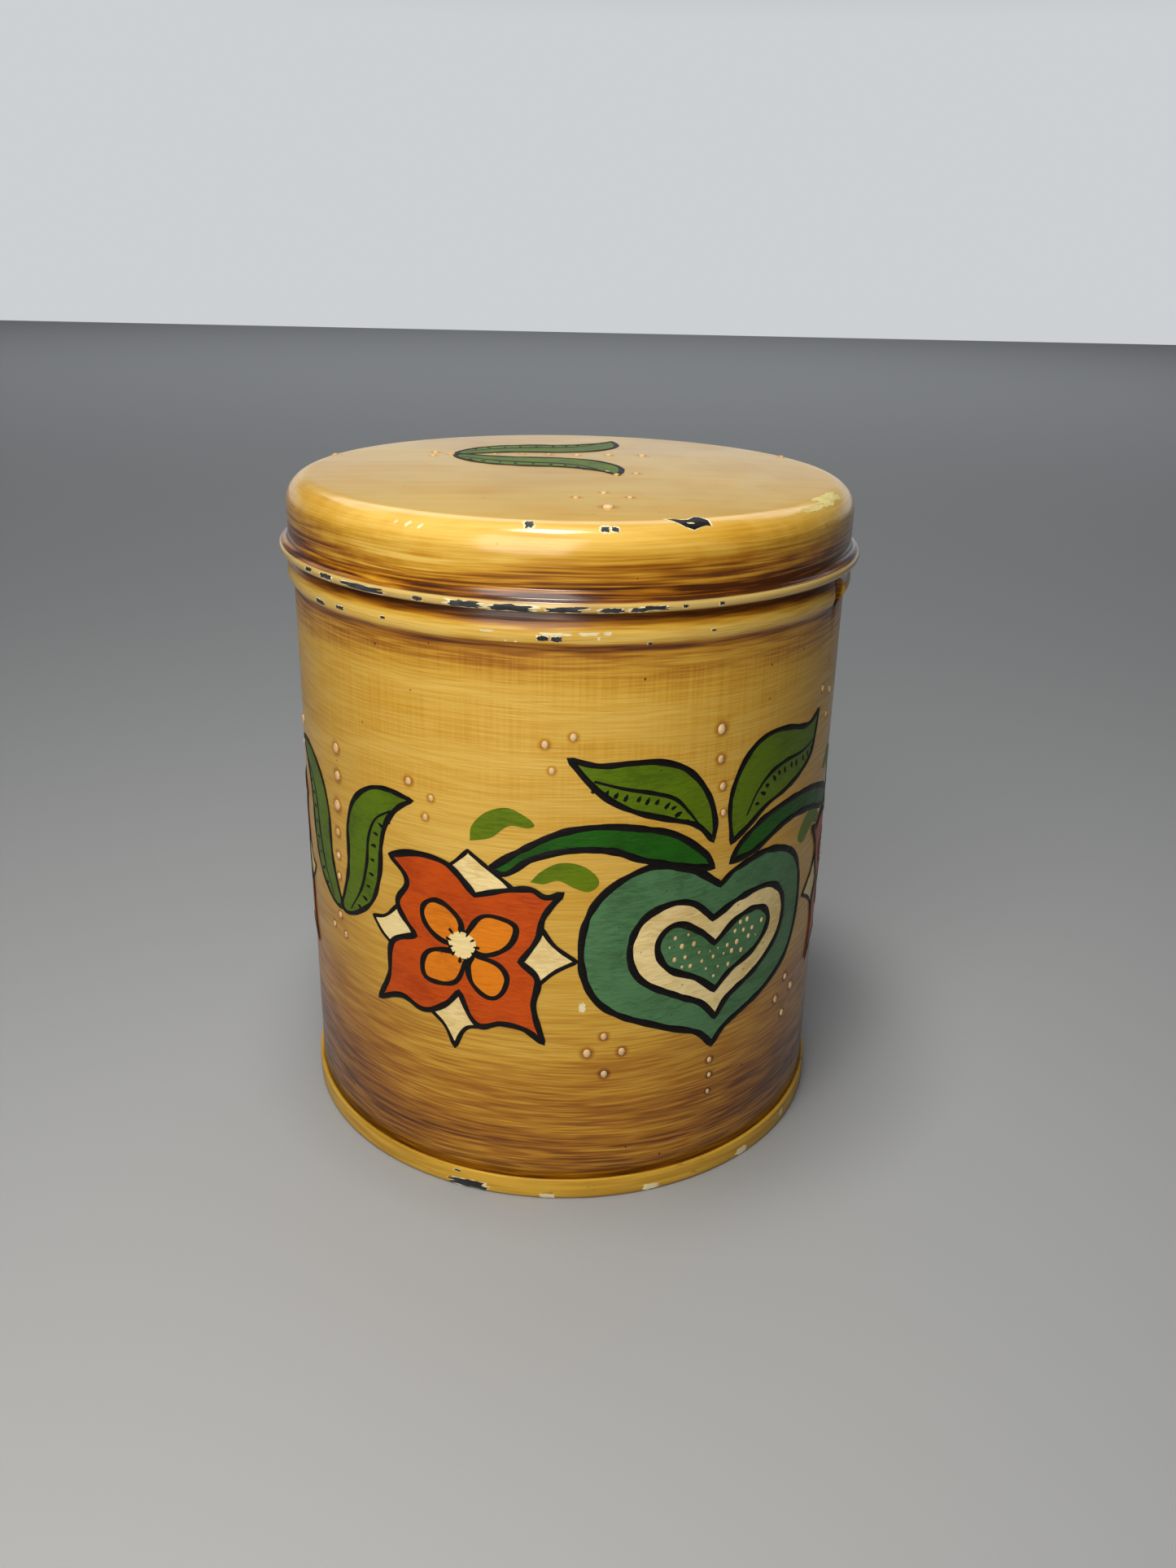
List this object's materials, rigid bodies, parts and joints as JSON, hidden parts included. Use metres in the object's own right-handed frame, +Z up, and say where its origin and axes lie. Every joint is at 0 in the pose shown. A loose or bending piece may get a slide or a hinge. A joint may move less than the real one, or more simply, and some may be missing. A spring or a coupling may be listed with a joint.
{
  "type": "coffee tin",
  "caption": "Round painted tinplate canister with a rolled bead below the neck, a hooked-on base end and a curled slip lid that lifts off.",
  "frame": {"origin": "centre of the face that the tin stands on", "axes": "+Z up along the tin's axis, -Y towards the front of the painted design, +X to its right"},
  "size_m": [0.1328, 0.1328, 0.1546],
  "materials": {
    "ochre_paint": "yellow-ochre paint under a brown antiquing glaze, satin, on tinplate",
    "mustard_paint": "mustard paint, satin, chipped along its edge",
    "glazed_paint": "yellow-ochre paint under a darker brown glaze, semi-gloss, on tinplate",
    "motif_paint": "hand-brushed enamel colours with black outlines, satin",
    "bare_tinplate": "dull, slightly tarnished tinplate inside the tin and where paint has chipped"
  },
  "bodies": {
    "tin": {"body_wall": "ochre_paint", "base_end": "mustard_paint"},
    "lid": {"lid_shell": "glazed_paint"}
  },
  "joints": [
    {"name": "lid_lift", "type": "slide", "parent": "tin", "child": "lid", "axis": [0, 0, 1], "range_m": [0, 0.06]}
  ]
}
